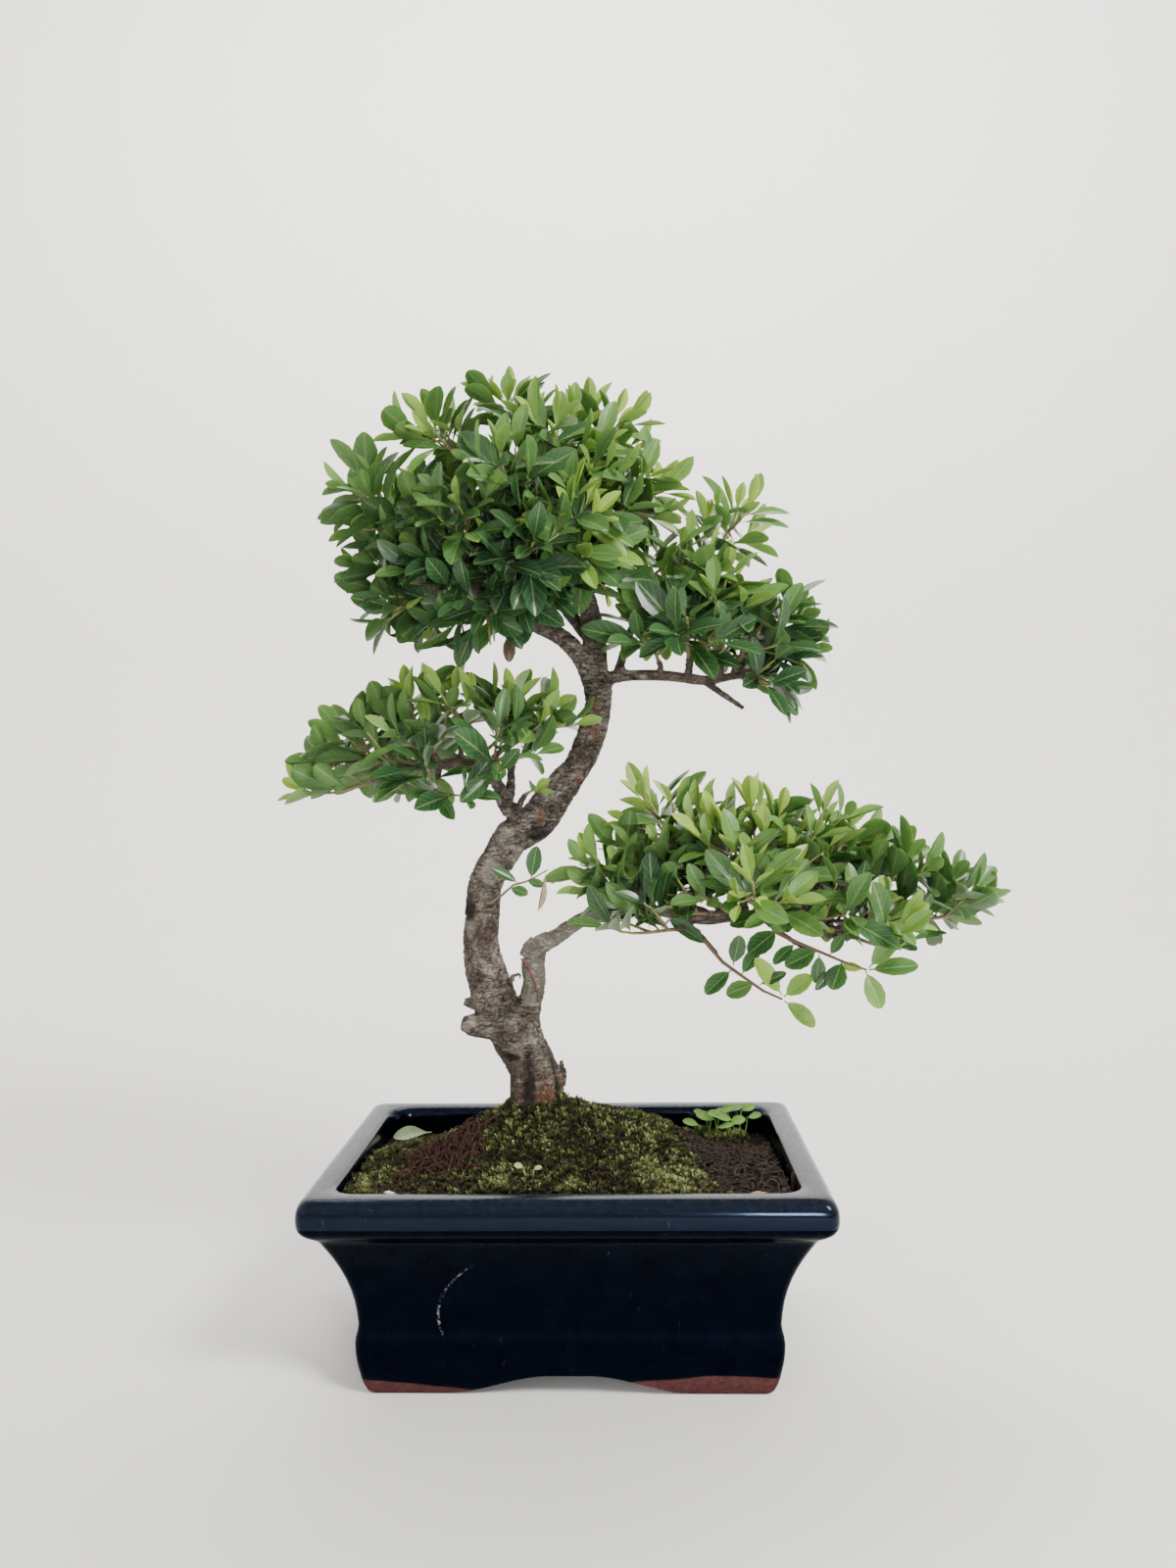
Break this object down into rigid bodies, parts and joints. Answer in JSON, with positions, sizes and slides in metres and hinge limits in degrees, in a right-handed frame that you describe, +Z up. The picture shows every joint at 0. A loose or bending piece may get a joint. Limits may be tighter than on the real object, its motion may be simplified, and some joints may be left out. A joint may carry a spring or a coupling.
{
  "type": "potted bonsai tree",
  "caption": "Small-leaved holly bonsai with a curved trunk and leafy pads, in a dark glazed rectangular pot with soil and moss.",
  "frame": {"origin": "centre of the overall box, on the surface that the pot stands on", "axes": "+Z up, +X to the right and +Y away from the front, along the pot's length and depth"},
  "size_m": [0.317, 0.15, 0.4275],
  "materials": {
    "glaze": "very dark blue-black gloss glaze over brown clay",
    "soil": "dark crumbly peat and bark, matte",
    "moss": "soft matte green cushion",
    "bark": "pale grey-brown bark, matte",
    "leaf": "leathery dark green, satin",
    "young_leaf": "soft bright green, satin",
    "dead_leaf": "dry brown, matte",
    "screen": "black moulded mesh",
    "pale_stone": "pale matte stone",
    "orange_stone": "orange-brown matte stone"
  },
  "bodies": {
    "root": {"pot": "glaze", "soil": "soil", "moss_mound": "moss", "moss_left": "moss", "moss_back": "moss", "trunk": "bark", "crown_01": "leaf", "crown_02": "leaf", "crown_03": "leaf", "crown_04": "leaf", "crown_05": "leaf", "crown_06": "leaf", "crown_07": "leaf", "crown_08": "leaf", "crown_09": "leaf", "crown_10": "leaf", "crown_11": "leaf", "crown_12": "leaf", "crown_13": "leaf", "crown_14": "leaf", "crown_15": "leaf", "crown_16": "leaf", "right_01": "leaf", "right_02": "leaf", "right_03": "leaf", "right_04": "leaf", "right_05": "leaf", "right_06": "leaf", "right_07": "leaf", "left_01": "leaf", "left_02": "leaf", "left_03": "leaf", "left_04": "leaf", "left_05": "leaf", "left_06": "leaf", "left_07": "leaf", "low_01": "leaf", "low_02": "leaf", "low_03": "leaf", "low_04": "leaf", "low_05": "leaf", "low_06": "leaf", "low_07": "leaf", "low_08": "leaf", "low_09": "leaf", "low_10": "leaf", "low_11": "leaf", "low_12": "leaf", "low_13": "leaf", "trunk_spray": "leaf", "bud_spray": "leaf", "dried_leaf": "dead_leaf", "caught_twig": "dead_leaf", "seedlings": "young_leaf", "sprout": "young_leaf", "fallen_leaf": "young_leaf", "pebble_white": "pale_stone", "pebble_orange": "orange_stone", "drain_mesh_left": "screen", "drain_mesh_right": "screen"}
  },
  "joints": []
}
